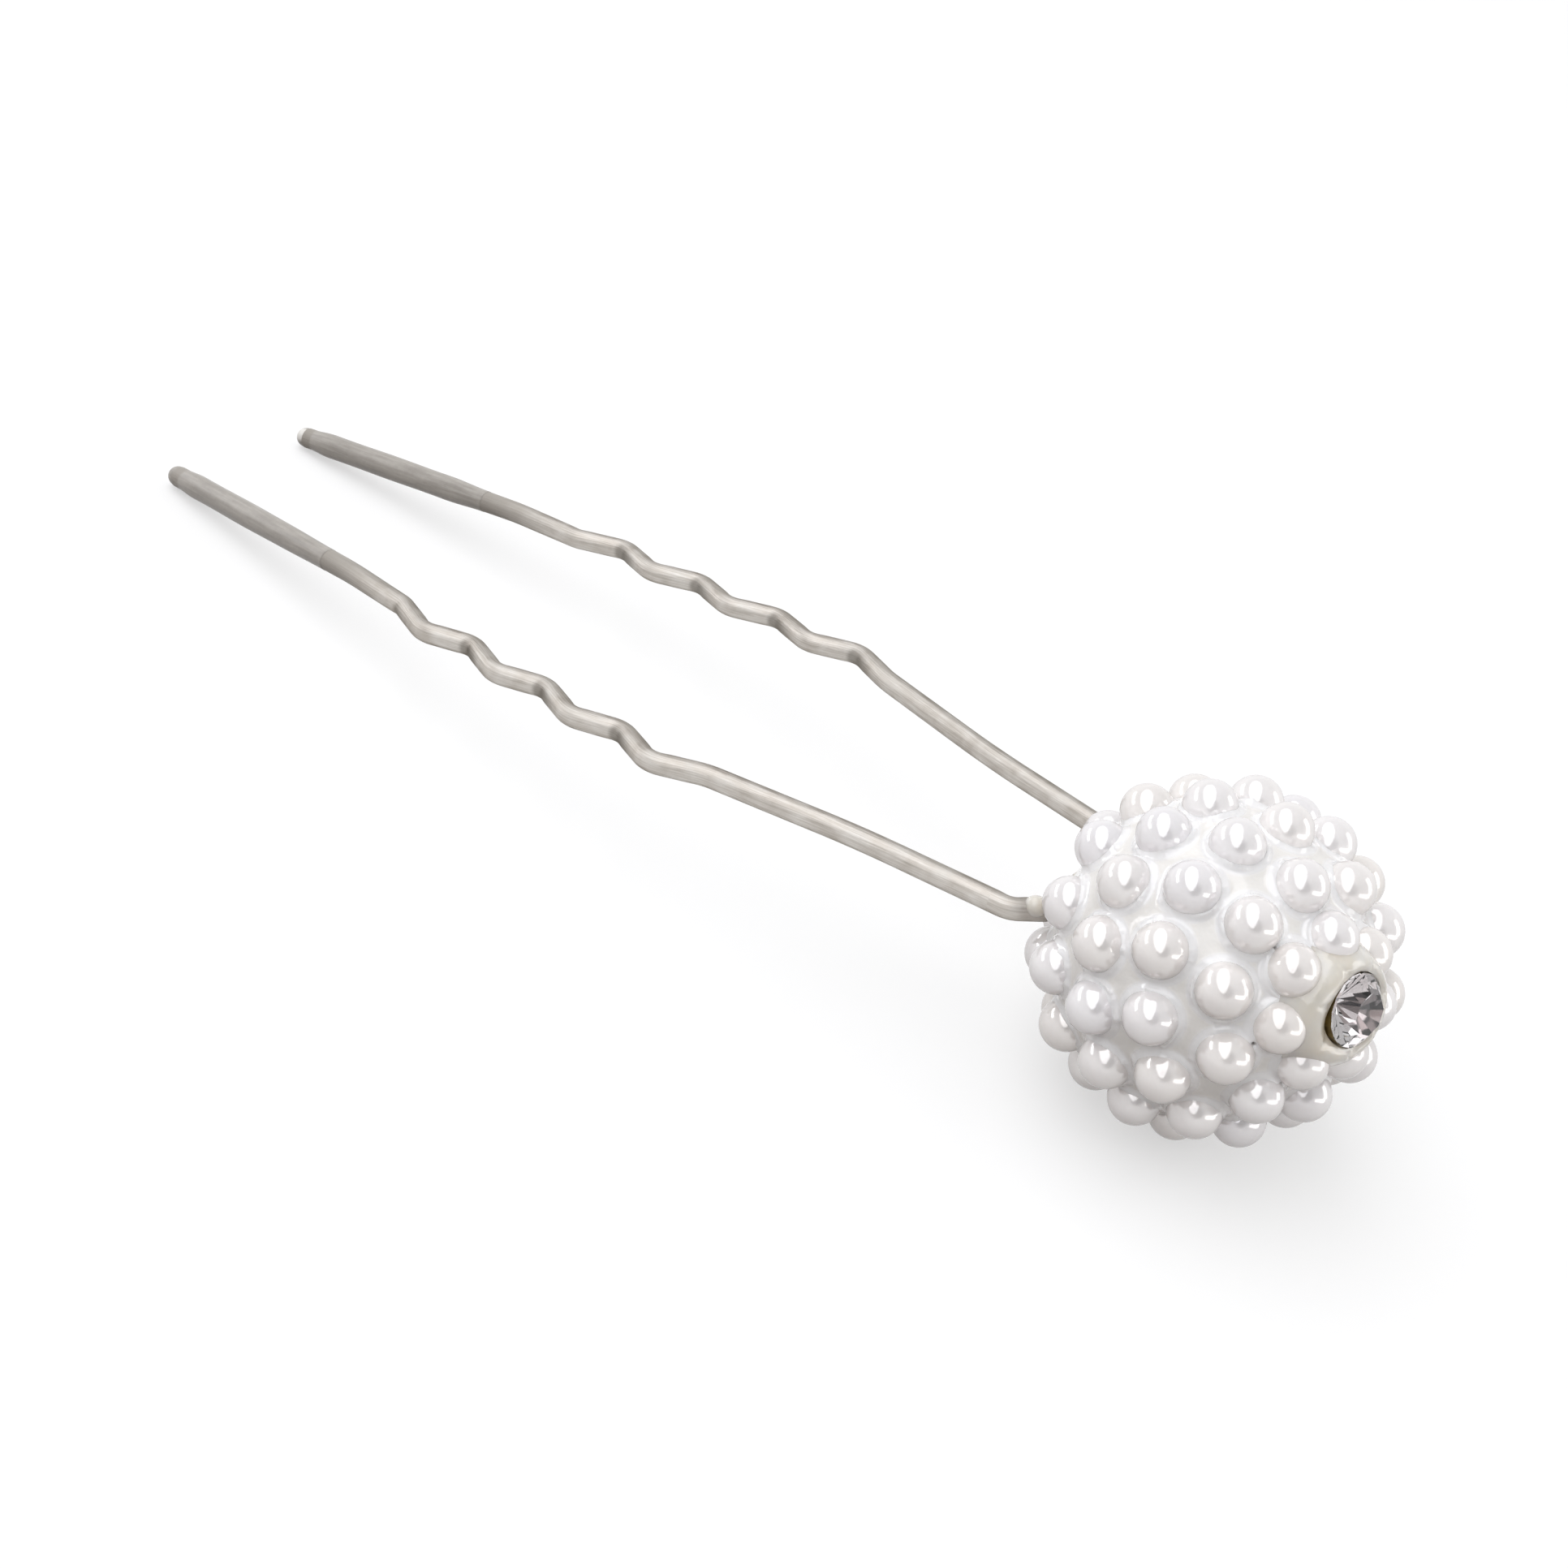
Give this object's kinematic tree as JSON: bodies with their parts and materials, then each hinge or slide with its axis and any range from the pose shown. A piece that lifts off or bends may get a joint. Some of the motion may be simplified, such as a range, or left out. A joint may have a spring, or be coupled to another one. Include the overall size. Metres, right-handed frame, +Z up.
{
  "type": "hair pin",
  "caption": "U-shaped hair pin of crimped springy wire with dipped tips, carrying a pearl-covered ball with a foil-backed crystal at its pole.",
  "frame": {"origin": "on the surface the pin lies on, under the middle of its bounding box", "axes": "+X along the pin towards the ball, +Y towards the left leg, +Z up; the pin rests on two pearls and both tips"},
  "size_m": [0.0872, 0.021, 0.0197],
  "materials": {
    "wire": "satin plated spring wire",
    "tip_coat": "satin grey dip lacquer",
    "glue": "clear, faintly yellow",
    "core": "milky white plastic",
    "coat": "glossy white lacquer glue",
    "pearl": "pearl lacquer",
    "crystal": "cut crystal",
    "foil": "mirror foil with a lacquered back"
  },
  "bodies": {
    "ball_head": {"pin_bend": "wire", "bow_glue": "glue", "ball_core": "core", "glue_coat": "coat", "pearl_ring_1": "pearl", "pearl_ring_2": "pearl", "pearl_ring_3": "pearl", "pearl_ring_4": "pearl", "pearl_ring_5": "pearl", "pearl_ring_6": "pearl", "pearl_ring_7": "pearl", "stone": "crystal", "stone_foil": "foil", "stone_glue": "glue"},
    "left_prong": {"left_leg": "wire", "left_tip_coat": "tip_coat"},
    "right_prong": {"right_leg": "wire", "right_tip_coat": "tip_coat"}
  },
  "joints": [
    {"name": "left_leg_flex", "type": "hinge", "parent": "ball_head", "child": "left_prong", "pos_m": [0.02305, 0.00554, 0.00914], "axis": [0.1244, 0, -0.9922], "range_deg": [-3.5, 6], "stiffness_Nm_per_rad": 1.25},
    {"name": "right_leg_flex", "type": "hinge", "parent": "ball_head", "child": "right_prong", "pos_m": [0.02305, -0.00554, 0.00914], "axis": [-0.1244, 0, 0.9922], "range_deg": [-3.5, 6], "stiffness_Nm_per_rad": 1.25}
  ]
}
